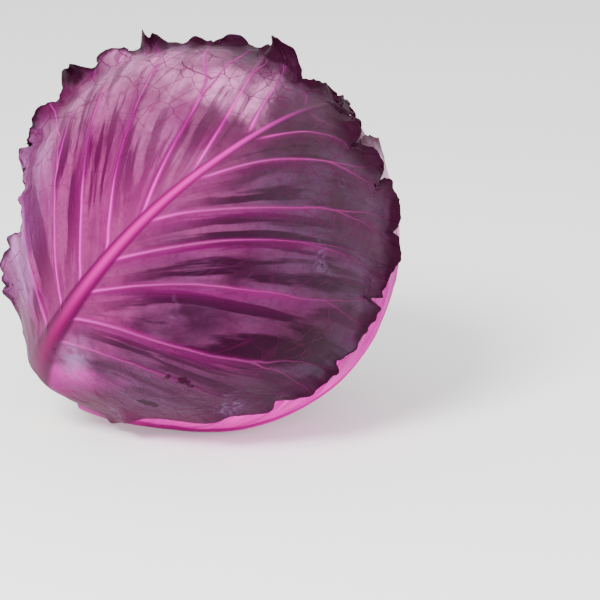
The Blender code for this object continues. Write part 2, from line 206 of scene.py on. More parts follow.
def outline(leaf, layer, side):
    """The margin on the right (side 1) or left (side -1), from the base's corner to the tip: the
    two leaf angles and the share of the margin's length at each point."""
    base, tip = base_angle(layer), math.radians(leaf["tip"])
    reach = math.radians(leaf["reach"][0 if side < 0 else 1])
    first = math.asin((math.radians(leaf["base"][0 if side < 0 else 1]) / reach) ** (OUTLINE_POWER / 2))
    last = math.pi - math.asin((TIP_HALF_WIDTH / reach) ** (OUTLINE_POWER / 2))
    turn = np.linspace(first, last, OUTLINE_POINTS)
    middle, half = (base + tip) / 2, (tip - base) / 2
    along = -half * np.sign(np.cos(turn)) * np.abs(np.cos(turn)) ** (2 / OUTLINE_POWER)
    aside = reach * np.sin(turn) ** (2 / OUTLINE_POWER)
    steps = np.hypot(np.diff(along) * np.cos(aside[1:]), np.diff(aside))
    share = np.concatenate([[0], np.cumsum(steps)]) / steps.sum()
    lobe = LOBE_DEPTH * np.sin(2 * math.pi * LOBES * share + leaf["azimuth"] + side)
    lobe *= smoothstep(0, LOBES_START_AT, share) * smoothstep(1, 1 - LOBES_START_AT, share)
    for place, spread, depth in leaf["notches"]:
        if place * side > 0:
            lobe -= depth * np.exp(-(((share - abs(place)) / spread) ** 2))
    back = math.radians(leaf["wrap"][0 if side < 0 else 1]) * np.exp(-((share / CORNER_SHARE) ** 2))
    return middle + along * (1 + lobe) - back, side * aside * (1 + lobe), share


def blade_directions(leaf, layer, rows, columns):
    """A grid of directions: rows follow the side veins out from the midrib to both margins."""
    base, tip = base_angle(layer), math.radians(leaf["tip"])
    row = np.linspace(0, 1, rows + 1)
    start = base + (tip - base) * (VEIN_START_LINEAR * row + (1 - VEIN_START_LINEAR) * row**3)
    step = np.linspace(0, 1, columns + 1)
    step = 0.55 * step + 0.45 * smoothstep(0, 1, step)
    reach = np.concatenate([-step[:0:-1], step])
    grid = np.zeros((rows + 1, len(reach), 3))
    begin = direction(leaf, start, np.zeros_like(start))
    forward = direction(leaf, start + math.pi / 2, np.zeros_like(start))
    for side in (-1, 1):
        end = VEIN_END_LINEAR[side] * row + (1 - VEIN_END_LINEAR[side]) * row**2
        edge_along, edge_aside, share = outline(leaf, layer, side)
        margin = direction(leaf, np.interp(end, share, edge_along), np.interp(end, share, edge_aside))
        length = np.linalg.norm(margin - begin, axis=-1, keepdims=True)
        bend = VEIN_BEND_FORWARD[side] * (1 - row[:, None] ** 2) * smoothstep(0, 0.1, row[:, None])
        ahead = bend * length * forward
        bend = begin + VEIN_BEND_ALONG * (margin - begin) + ahead
        for column in np.flatnonzero(reach * side >= 0):
            t = abs(reach[column])
            grid[:, column] = (1 - t) ** 2 * begin + 2 * t * (1 - t) * bend + t**2 * margin
    return unit(grid), row * leaf["veins"], reach


def freedom(layer, directions):
    """1 where no leaf further out covers this direction, 0 where one does."""
    free = np.ones(directions.shape[:-1])
    for outer, cover in enumerate(LEAVES[:layer]):
        base, tip = base_angle(outer), math.radians(cover["tip"])
        along, aside = leaf_angles(cover, directions)
        reach = np.radians(np.where(aside < 0, cover["reach"][0], cover["reach"][1]))
        across = np.abs(aside / reach) ** OUTLINE_POWER
        lengthways = np.abs((along - (base + tip) / 2) / ((tip - base) / 2)) ** OUTLINE_POWER
        free *= smoothstep(1.05, 1.5, across + lengthways)
    return free


def ragged(length, seed, depth):
    """A torn, toothed line: how far the margin stands out at each place along it."""
    draw = np.random.default_rng(seed)
    teeth = np.zeros_like(length)
    for spacing, share in ((12 * MM, 0.55), (5 * MM, 0.55), (2.4 * MM, 0.3)):
        knots = np.arange(0, length.max() + 2 * spacing, spacing)
        knots = knots + draw.uniform(-0.35, 0.35, len(knots)) * spacing
        teeth += share * np.interp(length, knots, draw.uniform(-1, 1, len(knots)))
    cleft = draw.uniform(10 * MM, 26 * MM)
    while cleft < length.max():
        deep, half_width = draw.uniform(0.7, 1.9), draw.uniform(1.6 * MM, 3 * MM)
        teeth -= deep * np.maximum(0, 1 - np.abs(length - cleft) / half_width)
        cleft += draw.uniform(12 * MM, 34 * MM)
    return depth * teeth


def curl_margin(leaf, points, normals, free, seed, tooth):
    """Tears the margin ragged and curls it outwards where nothing covers it. Returns the moved
    points and, for each, how far it is from the margin, where along the margin it is, how far it
    has turned over, and how torn its stretch of margin is."""
    def around(grid):
        return np.concatenate([grid[:, -1], grid[-1, -2:0:-1], grid[::-1, 0]])
    line, line_normals = around(points), around(normals)
    length = np.concatenate([[0], np.cumsum(np.linalg.norm(np.diff(line, axis=0), axis=1))])
    smooth = np.gradient(line, axis=0)
    for _ in range(MARGIN_SMOOTHING):
        smooth[1:-1] = (smooth[:-2] + 2 * smooth[1:-1] + smooth[2:]) / 4
    off_blade = unit(np.cross(unit(smooth), line_normals))
    nearest = np.zeros(points.shape[:-1], int)
    gap = np.zeros(points.shape[:-1])
    for row in range(len(points)):
        gaps = np.linalg.norm(points[row, :, None] - line, axis=-1)
        nearest[row], gap[row] = gaps.argmin(-1), gaps.min(-1)
    place = length[nearest] / length[-1]
    draw = np.random.default_rng(seed + 50)
    knots = np.arange(0, length.max() + 2 * FLAP_SPACING, FLAP_SPACING)
    flaps = draw.uniform(-0.5, 1.0, len(knots)) * FLAP_ROLL
    angle = LEAST_ROLL + np.maximum(np.interp(length[nearest], knots, flaps), 0)
    width = np.full(gap.shape, ROLL_WIDTH)
    for middle, spread, degrees, broad in leaf["rolls"]:
        here = np.exp(-(((place - middle) / spread) ** 2))
        angle += math.radians(degrees) * here
        width += (broad * MM - ROLL_WIDTH) * here
    angle = np.maximum(angle, 0) * free
    into = np.maximum(width - gap, 0)
    turned = np.maximum(angle * into / width, 1e-6)
    torn = smoothstep(*TORN_BETWEEN[0], place) * smoothstep(*TORN_BETWEEN[1], place)
    teeth = ragged(length, seed, tooth)[nearest] * torn
    teeth *= np.exp(-((gap / (TEETH_REACH_IN + 1.3 * np.maximum(-teeth, 0))) ** 2))
    off = (np.sin(turned) / turned - 1) * into + teeth * np.cos(turned)
    lifted = (1 - np.cos(turned)) / turned * into + teeth * np.sin(turned)
    moved = points + off_blade[nearest] * off[..., None] + normals * lifted[..., None]
    return moved, gap, length[nearest], turned, torn


def new_object(name, data):
    thing = bpy.data.objects.new(name, data)
    bpy.context.scene.collection.objects.link(thing)
    return thing


def keep_facts(mesh, facts):
    """Keeps each fact's values on the mesh, one for each point."""
    for fact, values in facts.items():
        attribute = mesh.attributes.new(fact, "FLOAT", "POINT")
        attribute.data.foreach_set("value", np.ascontiguousarray(values, np.float32).ravel())


def grow_sheet(leaf, layer, rows_per_vein, columns, tooth):
    """The leaf's outer face as a sheet, about the head's centre, with what its ribs and its
    finish need to know at each point kept as attributes."""
    rows = leaf["veins"] * rows_per_vein
    seed = 7 + layer
    directions, vein, reach = blade_directions(leaf, layer, rows, columns)
    smooth = directions * layer_radius(directions, layer)[..., None]
    from_ground = np.arccos(np.clip(dot(directions, DOWN), -1, 1))
    free = freedom(layer, directions)
    free *= smoothstep(EVEN_NEAR_GROUND, EVEN_NEAR_GROUND + EVEN_FADES_OVER, from_ground)
    normals = layer_normals(directions, layer)
    points, edge, margin, curl, torn = curl_margin(leaf, smooth, normals, free, seed, tooth)
    along, aside = leaf_angles(leaf, directions)
    across_veins = np.gradient(smooth, axis=0) * rows_per_vein
    along_veins = unit(np.gradient(smooth, axis=1))
    spacing = np.linalg.norm(np.cross(across_veins, along_veins), axis=-1)
    vein, reach = np.broadcast_arrays(vein[:, None], reach[None])
    sides = np.sign(reach)
    wander = 0.17 * np.sin(1.9 * vein + 2.3 * sides + seed) + 0.07 * np.sin(4.1 * vein + 5 * reach + seed)
    vein = vein + wander * smoothstep(0.02, 0.4, np.abs(reach))
    facts = dict(vein=vein, reach=reach, spacing=spacing, edge=edge, margin=margin, free=free, curl=curl,
                 torn=torn, rib_gap=HEAD_RADIUS * np.abs(aside), along=along / math.radians(leaf["tip"]))
    rows, columns = points.shape[:2]
    number = np.arange(rows * columns).reshape(rows, columns)
    quads = np.stack([number[:-1, :-1], number[:-1, 1:], number[1:, 1:], number[1:, :-1]], -1)
    mesh = bpy.data.meshes.new(leaf["name"] + "_sheet")
    mesh.from_pydata(points.reshape(-1, 3).tolist(), [], quads.reshape(-1, 4).tolist())
    keep_facts(mesh, facts)
    return new_object(leaf["name"] + "_sheet", mesh)


def step_of(operation, swapped=False):
    """A method that works out one step of arithmetic on a signal and another value."""
    return lambda a, b: work(operation, b, a) if swapped else work(operation, a, b)


class Signal:
    """A value in a node tree. Sums written with signals add the nodes that work them out."""

    __add__, __radd__ = step_of("ADD"), step_of("ADD", True)
    __sub__, __rsub__ = step_of("SUBTRACT"), step_of("SUBTRACT", True)
    __mul__, __rmul__ = step_of("MULTIPLY"), step_of("MULTIPLY", True)
    __truediv__, __pow__ = step_of("DIVIDE"), step_of("POWER")

    def __init__(self, socket):
        self.socket, self.tree = socket, socket.id_data

    def __abs__(self):
        return work("ABSOLUTE", self)


def join(start, socket):
    """Feeds a node's input from a signal or a node's output, or sets it to a plain value."""
    start = start.socket if isinstance(start, Signal) else start
    if isinstance(start, bpy.types.NodeSocket):
        socket.id_data.links.new(start, socket)
    else:
        socket.default_value = start


def add_node(tree, kind, inputs, output=0, **settings):
    """Adds a node, sets it up, feeds its inputs and returns one of its outputs."""
    node = tree.nodes.new(kind)
    for name, value in settings.items():
        setattr(node, name, value)
    for name, start in inputs.items():
        join(start, node.inputs[name])
    return Signal(node.outputs[output])


def work(operation, *terms, clamp=False):
    """One step of arithmetic on signals and plain numbers."""
    tree = next(term.tree for term in terms if isinstance(term, Signal))
    return add_node(tree, "ShaderNodeMath", dict(enumerate(terms)), operation=operation, use_clamp=clamp)


def most(a, b):
    return work("MAXIMUM", a, b)


def bell(distance, width):
    """1 at a distance of nought, falling off smoothly past the width."""
    ratio = distance / width
    return work("EXPONENT", ratio * ratio * -1.0)


def ramp(value, low, high, from_value=0.0, to_value=1.0):
    """Smoothly from one value to another while the input goes from low to high."""
    inputs = {"Value": value, "From Min": low, "From Max": high, "To Min": from_value, "To Max": to_value}
    return add_node(value.tree, "ShaderNodeMapRange", inputs, interpolation_type="SMOOTHSTEP")


def mottle(place, scale, detail, seed=0.0):
    """Soft random values about a half."""
    inputs = {"Vector": place, "Scale": scale, "Detail": detail, "W": seed}
    return add_node(place.tree, "ShaderNodeTexNoise", inputs, noise_dimensions="4D")


def trio(*values):
    return add_node(values[0].tree, "ShaderNodeCombineXYZ", dict(enumerate(values)))


def blend(factor, under, over):
    """A colour between two colours, each a signal or three plain numbers."""
    under, over = (colour if isinstance(colour, Signal) else (*colour, 1.0) for colour in (under, over))
    return add_node(factor.tree, "ShaderNodeMix", {0: factor, 6: under, 7: over}, 2, data_type="RGBA")


def new_group(name, kind, inputs, outputs):
    """An empty node group. Returns it, the signals that it is given and the sockets that it fills."""
    group = bpy.data.node_groups.new(name, kind)
    for in_out, sockets in (("INPUT", inputs), ("OUTPUT", outputs)):
        for label, value in sockets.items():
            kind = "Float" if isinstance(value, float) else value
            socket = group.interface.new_socket(label, in_out=in_out, socket_type="NodeSocket" + kind)
            if kind != value:
                socket.default_value = value
    given = {socket.name: Signal(socket) for socket in group.nodes.new("NodeGroupInput").outputs}
    return group, given, group.nodes.new("NodeGroupOutput").inputs


def plant_leaf_tree():
    """The Geometry Nodes tree that turns a leaf's sheet into a leaf: it raises the midrib, the
    side ribs and the puckered blade between them, frills the margin and gives it thickness."""
    tree, given, result = new_group("leaf_blade", "GeometryNodeTree", {
        "Geometry": "Geometry", "Midrib Height": 3.8 * MM, "Midrib Width": 6.5 * MM, "Rib Height": 1.1 * MM,
        "Rib Width": 1.6 * MM, "Flute Height": 0.9 * MM, "Pucker Height": 0.8 * MM, "Pucker Size": 9 * MM,
        "Frill Height": 4 * MM, "Frill Length": 12 * MM, "Frill Width": 8 * MM,
        "Thickness": BLADE_THICKNESS, "Veins": 10.0, "Seed": 1.0, "Material": "Material"},
        {"Geometry": "Geometry"})

    def fact(name, kind="FLOAT"):
        return add_node(tree, "GeometryNodeInputNamedAttribute", {"Name": name}, "Attribute",
                        data_type=kind)

    vein, reach, free, edge, along, rib_gap = (
        fact(name) for name in ("vein", "reach", "free", "edge", "along", "rib_gap"))
    out = abs(reach)
    taper = work("SUBTRACT", 1.0, along, clamp=True) ** 1.5
    foot = ramp(along, 0.04, 0.2, 1.5, 1.0)
    rib_width = given["Midrib Width"] * (0.14 + taper * 0.86)
    midrib = bell(rib_gap, rib_width * (foot * foot))
    midrib = midrib * (given["Midrib Height"] * (foot * (0.12 + taper * 0.88)))
    beside = abs(vein - work("ROUND", vein))
    real = ramp(vein, 0.45, 2.2) * ramp(given["Veins"] - vein, 0.5, 2.2)
    inwards = work("SUBTRACT", 1.0, out, clamp=True) ** 0.6
    side_rib = bell(beside * fact("spacing"), given["Rib Width"]) * (given["Rib Height"] * inwards * real)
    side_rib = side_rib * ramp(rib_gap, 3 * MM, 10 * MM)
    wave = work("COSINE", beside * math.pi)
    flute = wave * wave * (given["Flute Height"] * work("SINE", out * math.pi) * real)
    position = add_node(tree, "GeometryNodeInputPosition", {})
    pucker = mottle(position, work("DIVIDE", 1.0, given["Pucker Size"]), 2.0, given["Seed"]) - 0.4
    pucker = pucker * given["Pucker Height"] * (0.35 + out)
    run = trio(fact("margin") / given["Frill Length"], edge / (given["Frill Length"] * 1.6), given["Seed"])
    frill = (ramp(mottle(run, 0.45, 1.0, given["Seed"]), 0.46, 0.72)
             + ramp(mottle(run, 1.15, 2.0, given["Seed"]), 0.42, 0.72) * 0.6)
    frill = frill * (given["Frill Height"] * work("EXPONENT", -1.0 * (edge / given["Frill Width"])))
    # A tightly rolled margin is stiff, so that its frill lies flatter
    frill = frill * (fact("torn") * ramp(fact("curl"), 0.7, 1.7, 1.0, 0.15))
    relief = ((midrib + side_rib) + (flute + (pucker + frill))) * free

    def keep(geometry, name, kind, value):
        return add_node(tree, "GeometryNodeStoreNamedAttribute", {
            "Geometry": geometry, "Name": name, "Value": value}, data_type=kind, domain="POINT")

    normals = add_node(tree, "GeometryNodeInputNormal", {})
    kept = keep(given["Geometry"], "outwards", "FLOAT_VECTOR", normals)
    outwards = fact("outwards", "FLOAT_VECTOR")

    def moved(geometry, distance, **chosen):
        way = add_node(tree, "ShaderNodeVectorMath", {0: outwards, "Scale": distance}, operation="SCALE")
        chosen = {name.title(): socket for name, socket in chosen.items()}
        return add_node(tree, "GeometryNodeSetPosition", {"Geometry": geometry, "Offset": way, **chosen})

    inset = given["Thickness"] * -1.0 * ramp(edge, 0.0, 7 * MM, 0.45, 1.0)
    shell = add_node(tree, "GeometryNodeExtrudeMesh", {
        "Mesh": kept, "Offset Scale": 0.0, "Individual": False}, "Mesh", mode="FACES")
    top = Signal(shell.socket.node.outputs["Top"])
    rest = add_node(tree, "FunctionNodeBooleanMath", {0: top}, operation="NOT")
    # A frilled or rolled margin's inner face follows it; under the ribs the inner face stays smooth
    under = inset + free * (frill + pucker)
    shell = moved(moved(shell, relief, selection=top), under, selection=rest)
    back = keep(moved(kept, under), "inner", "FLOAT", 1.0)
    back = add_node(tree, "GeometryNodeFlipFaces", {"Mesh": back})
    both = tree.nodes.new("GeometryNodeJoinGeometry")
    join(shell, both.inputs[0])
    join(back, both.inputs[0])
    leaf = add_node(tree, "GeometryNodeMergeByDistance", {"Geometry": both.outputs[0], "Distance": 1e-6})
    leaf = add_node(tree, "GeometryNodeRemoveAttribute", {"Geometry": leaf, "Name": "outwards"})
    leaf = add_node(tree, "GeometryNodeRealizeInstances", {0: leaf})
    leaf = add_node(tree, "GeometryNodeSetMaterial", {"Geometry": leaf, "Material": given["Material"]})
    join(leaf, result[0])
    return tree


leaf_tree = plant_leaf_tree()


def unfold_leaf(sheet, material, **sizes):
    """Runs the leaf tree on a sheet and settles the finished leaf in its place on the head."""
    modifier = sheet.modifiers.new("leaf_blade", "NODES")
    modifier.node_group = leaf_tree
    wanted = {name.replace("_", " ").title(): value for name, value in sizes.items()}
    wanted["Material"] = material
    for item in leaf_tree.interface.items_tree:
        if item.item_type == "SOCKET" and item.in_out == "INPUT" and item.name in wanted:
            modifier[item.identifier] = wanted[item.name]
    evaluated = sheet.evaluated_get(bpy.context.evaluated_depsgraph_get())
    mesh = bpy.data.meshes.new_from_object(evaluated)
    name = sheet.name.removesuffix("_sheet")
    old = sheet.data
    bpy.data.objects.remove(sheet)
    bpy.data.meshes.remove(old)
    mesh.name = name + "_grown"
    points = np.zeros(len(mesh.vertices) * 3, np.float32)
    mesh.vertices.foreach_get("co", points)
    points = settle(points.reshape(-1, 3).astype(float))
    mesh.vertices.foreach_set("co", points.astype(np.float32).ravel())
    mesh.shade_smooth()
    mesh.update()
    leaf = new_object(name + "_grown", mesh)
    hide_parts(name)
    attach(leaf, "root")


def draw_vein_group():
    """Masks of a leaf's veins: the side veins, which fork on their way out, the glow of colour
    beside them, the fine veins that leave them, and the net between those."""
    group, given, result = new_group("leaf_veins", "ShaderNodeTree", {
        "Vein": 0.0, "Reach": 0.0, "Spacing": 0.015, "Rib Gap": 0.1, "Along": 0.5, "Veins": 10.0,
        "Vein Width": 0.55 * MM, "Net Size": 12 * MM, "Seed": 0.0, "Place": "Vector"},
        dict.fromkeys(("Midrib", "Veins", "Glow", "Shade", "Fine Veins", "Net", "Height"), "Float"))
    spacing, place = given["Spacing"], given["Place"]
    out = abs(given["Reach"])
    wobble = mottle(place, 40.0, 2.0, given["Seed"]) - 0.5
    swayed = given["Vein"] + wobble * (out * 0.25)
    nearest = work("ROUND", swayed)
    beside = abs(swayed - nearest)
    chance = add_node(group, "ShaderNodeTexWhiteNoise", {
        "Vector": trio(nearest, work("SIGN", given["Reach"]), 0.0)}, "Value", noise_dimensions="2D")
    spread = most(out - (0.42 + chance * 0.4), 0.0) * 0.62
    gap = abs(beside - spread) * spacing
    width = given["Vein Width"] * ramp(out, 0.0, 1.0, 1.2, 0.3)
    real = ramp(swayed, 1.3, 2.4) * ramp(given["Veins"] - swayed, 0.5, 2.2)
    real = real * ramp(given["Rib Gap"], 1.5 * MM, 5 * MM)
    veins = bell(gap, width) * real
    glow = bell(gap, width * 2.4) * real
    # Each side vein stands in a band of deeper magenta on the side towards the leaf's foot, partly its own
    # colour and partly painted shade beside the raised vein
    shade = bell(gap, spacing * 0.30) * ramp(nearest - swayed, -0.04, 0.05) * real

    # Fine veins leave each side vein at a slant, every eighth of its length or so
    slant = out * 7.0 + beside * -2.2 + chance * 5.0 + wobble * 0.55
    fine = bell(abs(slant - work("ROUND", slant)) * (13 * MM), 0.42 * MM) * ramp(out, 0.22, 0.5)
    fine = fine * ramp(mottle(place, 45.0, 1.0, 3.0), 0.42, 0.6)
    warp = add_node(group, "ShaderNodeTexNoise", {"Vector": place, "Scale": 90.0}, "Color")
    warped = add_node(group, "ShaderNodeVectorMath", {0: warp, 1: (0.003, 0.003, 0.003), 2: place},
                      operation="MULTIPLY_ADD")
    cells = add_node(group, "ShaderNodeTexVoronoi", {
        "Vector": warped, "Scale": work("DIVIDE", 1.0, given["Net Size"])}, "Distance",
        feature="DISTANCE_TO_EDGE")
    net = bell(cells, 0.019) * ramp(out, 0.1, 0.45)
    net = net * ramp(mottle(place, 60.0, 1.0, 11.0), 0.34, 0.5, 0.25, 1.0)

    rib_width = 7.6 * MM * (0.07 + work("SUBTRACT", 1.0, given["Along"], clamp=True) ** 1.6 * 0.93)
    midrib = ramp(given["Rib Gap"] / rib_width, 0.72, 1.12, 1.0, 0.0)
    height = veins * 0.8 + (fine * 0.35 + net * 0.3)
    for signal, socket in zip((midrib, veins, glow, shade, fine, net, height), result):
        join(signal, socket)
    return group


vein_group = draw_vein_group()


def dust_bloom_group():
    """The waxy bloom on a leaf: a pale film, rubbed off in scuffs and finely scratched, the scuffs painted
    paler as a bluish sheen.
    """
    group, given, result = new_group("waxy_bloom", "ShaderNodeTree", {"Place": "Vector", "Amount": 0.5},
                                     {"Bloom": "Float", "Rubbed Wax And Sheen": "Float"})
    place = given["Place"]
    film = work("MULTIPLY", ramp(mottle(place, 28.0, 4.0, 1.0), 0.38, 0.66), given["Amount"], clamp=True)
    patches = ramp(mottle(place, 40.0, 4.0, 8.0), 0.62, 0.76)
    strokes = add_node(group, "ShaderNodeVectorMath", {0: place, 1: (420.0, 500.0, 640.0)},
                       operation="MULTIPLY")
    join(film, result["Bloom"])
    join(patches * ramp(mottle(strokes, 1.0, 5.0, 5.0), 0.40, 0.66), result["Rubbed Wax And Sheen"])
    return group


bloom_group = dust_bloom_group()


def use_group(tree, group, **terms):
    """Adds a shader group to a material, and returns its outputs by name."""
    node = tree.nodes.new("ShaderNodeGroup")
    node.node_tree = group
    for name, term in terms.items():
        join(term, node.inputs[name.replace("_", " ").title()])
    return {socket.name: Signal(socket) for socket in node.outputs}


def new_finish(name):
    """A new material. Returns it, its shader, and a point's place on the object."""
    material = bpy.data.materials.new(name)
    material.use_nodes = True
    place = add_node(material.node_tree, "ShaderNodeTexCoord", {}, "Object")
    return material, material.node_tree.nodes["Principled BSDF"], place


def facts_of(material, *names):
    """The values that a mesh keeps under these names at each of its points."""
    return [add_node(material.node_tree, "ShaderNodeAttribute", {}, "Fac", attribute_name=name)
            for name in names]


def add_grain(skin, height, distance, strength=1.0):
    bump = add_node(skin.id_data, "ShaderNodeBump", {
        "Height": height, "Distance": distance, "Strength": strength})
    join(bump, skin.inputs["Normal"])


def scaled(colour, *shares):
    return tuple(share * channel for share, channel in zip(shares, colour))


def leaf_finish(name, leaf, blade, right_tone_and_shade, deep, wine, outer, shaded, dull, lilac, vein, band, rib, rib_shade_and_net,
                foot, flank, plum, inside, tip, bloom, bloom_amount, seed=0.0):
    """A leaf's living skin. blade and right_tone_and_shade are the left and right of its inner part, the
    right darker partly in its own colour and partly as painted shade; deep and wine the dark streaks on
    its right and its left, outer and shaded the left and right of its far part, the right again partly
    painted shade; dull its low right, lilac its low left, tip its far end, band the strong colour
    beside the side veins, which also paints the shade beside each raised vein, foot the base of its
    midrib and flank the blade right of that, plum its margin and inside the face that lay against the
    head. All are albedos."""
    material, skin, place = new_finish(name)
    number, along, reach, edge, rib_gap, spacing, curl, torn, inner = facts_of(
        material, "vein", "along", "reach", "edge", "rib_gap", "spacing", "curl", "torn", "inner")
    veins = use_group(material.node_tree, vein_group, vein=number, reach=reach, spacing=spacing,
                      rib_gap=rib_gap, along=along, place=place, veins=float(leaf["veins"]), seed=seed)

    # Streaks run out beside the veins, and the far part of the leaf turns lilac on its left and grey on its
    # right, the grey partly painted shade
    streaks = ramp(mottle(trio(number * 2.6, reach * 1.8, along), 1.7, 9.0, seed), 0.45, 0.55)
    blotches = mottle(trio(number * 1.8, reach * 4.2, along), 0.9, 9.0, seed + 7)
    marks = most(streaks, ramp(blotches, 0.50, 0.66, 0.0, 0.85))
    patches = ramp(mottle(place, 34.0, 7.0, seed + 2), 0.42, 0.60)
    flecks = ramp(mottle(place, 170.0, 4.0, seed + 3), 0.42, 0.7)
    out = abs(reach)
    dark = blend(ramp(reach, -0.05, 0.3), wine, deep)
    streaked = marks * ramp(out, 0.05, 0.35, 0.2, 1.0)
    # The right of the inner part is darker, partly its own colour and partly painted shade on the side away
    # from the light
    colour = blend(streaked, blend(ramp(reach + patches * 0.2, 0.10, 0.52), blade, right_tone_and_shade), dark)
    far = most(ramp(along, 0.45, 0.8), ramp(out, 0.5, 0.95))
    # Painted light: the far part's lilac is brightest in a band near the top of the head, a painted sheen,
    # and dimmer elsewhere
    top_sheen = bell(along - 0.78, 0.11) * ramp(flecks, 0.0, 1.0, 1.0, 0.6)
    far_colour = blend(top_sheen, scaled(outer, 0.66, 0.80, 0.70), outer)
    far_colour = blend(ramp(reach + patches * 0.3, -0.50, 0.12), far_colour, shaded)
    far_dark = blend(ramp(along, 0.45, 0.7, 0.0, 0.75), dark, shaded)
    far_colour = blend(most(patches * 0.42, marks * 0.55), far_colour, far_dark)
    colour = blend(far * 0.92, colour, far_colour)
    colour = blend(ramp(along + patches * 0.06, 0.71, 0.93), colour, tip)
    # Below the midrib's foot the blade is dull and finely wrinkled, and pink beside the foot itself
    low_right = ramp(number, 1.7, 3.1, 1.0, 0.0) * ramp(reach, 0.12, 0.45)
    colour = blend(low_right * ramp(flecks, 0.0, 1.0, 0.6, 0.95), colour, dull)
    colour = blend(flecks * 0.25, colour, dark)
    near = ramp(reach, 0.0, 0.06) * ramp(reach, 0.2, 0.6, 1.0, 0.0)
    colour = blend(ramp(number + (patches - 0.5) * 0.5, 0.3, 1.4, 0.9, 0.0) * near, colour, flank)
    film = ramp(out, 0.1, 0.6, 0.35, 1.0) * (1.0 - streaked * 0.8)
    waxy = use_group(material.node_tree, bloom_group, place=place, amount=film * bloom_amount)
    colour = blend(waxy["Bloom"] * 0.4, colour, bloom)
    # On the side towards the foot the colour beside each vein is strong: deeper magenta, and painted shade
    # beside the raised vein
    fading = ramp(most(along, out), 0.35, 0.85, 1.0, 0.12)
    threads = ramp(mottle(trio(number * 11.0, reach * 2.6, along), 1.6, 4.0, seed + 9), 0.40, 0.60)
    shade = veins["Shade"] * fading * ramp(threads, 0.0, 1.0, 0.45, 1.0)
    colour = blend(shade * 0.85, colour, band)
    # The low left of the blade is lilac and its left margin redder, and all of it is finely mottled
    low_left = ramp(reach, -0.7, -0.25, 1.0, 0.0) * ramp(along, 0.16, 0.46, 1.0, 0.0)
    colour = blend(low_left * ramp(most(streaks, threads), 0.0, 1.0, 0.9, 0.35), colour, lilac)
    ruddy = ramp(edge, 3 * MM, 22 * MM, 0.95, 0.0) * ramp(along, 0.19, 0.32)
    ruddy = ruddy * ramp(along, 0.60, 0.80, 1.0, 0.0) * ramp(reach, -0.3, -0.1, 1.0, 0.0)
    colour = blend(ruddy * ramp(flecks, 0.0, 1.0, 1.0, 0.8), colour, wine)
    speckle = ramp(mottle(place, 480.0, 3.0, seed + 11), 0.48, 0.64) * 0.2
    colour = blend(most(speckle, threads * 0.12), colour, dark)
    # The veins glow most half way out, and fade towards the right margin
    half_way = ramp(out, 0.1, 0.35) * ramp(out, 0.5, 0.8, 1.0, 0.0)
    rich = half_way * ramp(mottle(place, 24.0, 2.0, seed + 5), 0.42, 0.58)
    colour = blend(veins["Glow"] * fading * (0.45 + rich * 0.5), colour, band)
    thin = (0.3 + far * 0.55) * ramp(reach, -0.1, 0.4, 1.0, 0.4)
    thin_colour = tuple(0.75 * side + 0.25 * strong for side, strong in zip(rib_shade_and_net, band))
    colour = blend(veins["Net"] * thin, colour, thin_colour)
    colour = blend(veins["Fine Veins"] * (thin + 0.1), colour, thin_colour)
    vein_colour = blend(ramp(reach, -0.1, 0.3), vein, scaled(vein, 0.46, 3.2, 0.44))
    vein_colour = blend(rich * ramp(reach, -0.1, 0.2, 0.85, 0.3), vein_colour, band)
    strength = ramp(out, 0.0, 1.0, 0.95, 0.6) * ramp(reach, 0.3, 0.95, 1.0, 0.35)
    colour = blend(veins["Veins"] * strength, colour, vein_colour)
    # The midrib: bright along its crest, painted brighter there as a highlight, and deeper down its sides,
    # partly their own dark purple and partly painted shade; mauve at its foot, pale at its tip
    ridge_highlight = bell(rib_gap, 2.9 * MM * work("SUBTRACT", 1.08, along, clamp=True))
    rib_colour = blend(ramp(along, 0.16, 0.42), scaled(rib, 0.38, 0.4, 0.31), rib)
    rib_colour = blend(ridge_highlight, rib_shade_and_net, blend(ramp(along, 0.5, 0.8), rib_colour, vein_colour))
    colour = blend(veins["Midrib"] * ramp(along, 0.56, 0.9, 1.0, 0.0), colour, rib_colour)
    near_foot = along + (mottle(place, 40.0, 3.0, 6.0) - 0.5) * 0.12
    colour = blend(ramp(near_foot, 0.06, 0.2, 0.8, 0.0), colour, foot)
    # The margin dries to dark plum, and the face that lay inside is a deep wine red
    frayed = edge + (mottle(place, 45.0, 4.0, 4.0) - 0.45) * (24 * MM)
    dried = ramp(along, 0.72, 0.84, 4 * MM, 22 * MM)
    rim = most(ramp(frayed, 0.0, dried, 0.95, 0.0), ramp(edge, 0.2 * MM, 1.2 * MM, 0.9, 0.0))
    rolled = ramp(curl + patches * 0.3 + ramp(along, 0.84, 0.93, -0.4, 0.4), 0.7, 1.3)
    colour = blend(most(rim, rolled) * torn, colour, plum)
    scars = ramp(mottle(place, 65.0, 5.0, seed + 13) + low_right * 0.045, 0.675, 0.70)
    colour = blend(scars * 0.85, colour, plum)
    colour = blend(inner * 0.85, colour, inside)
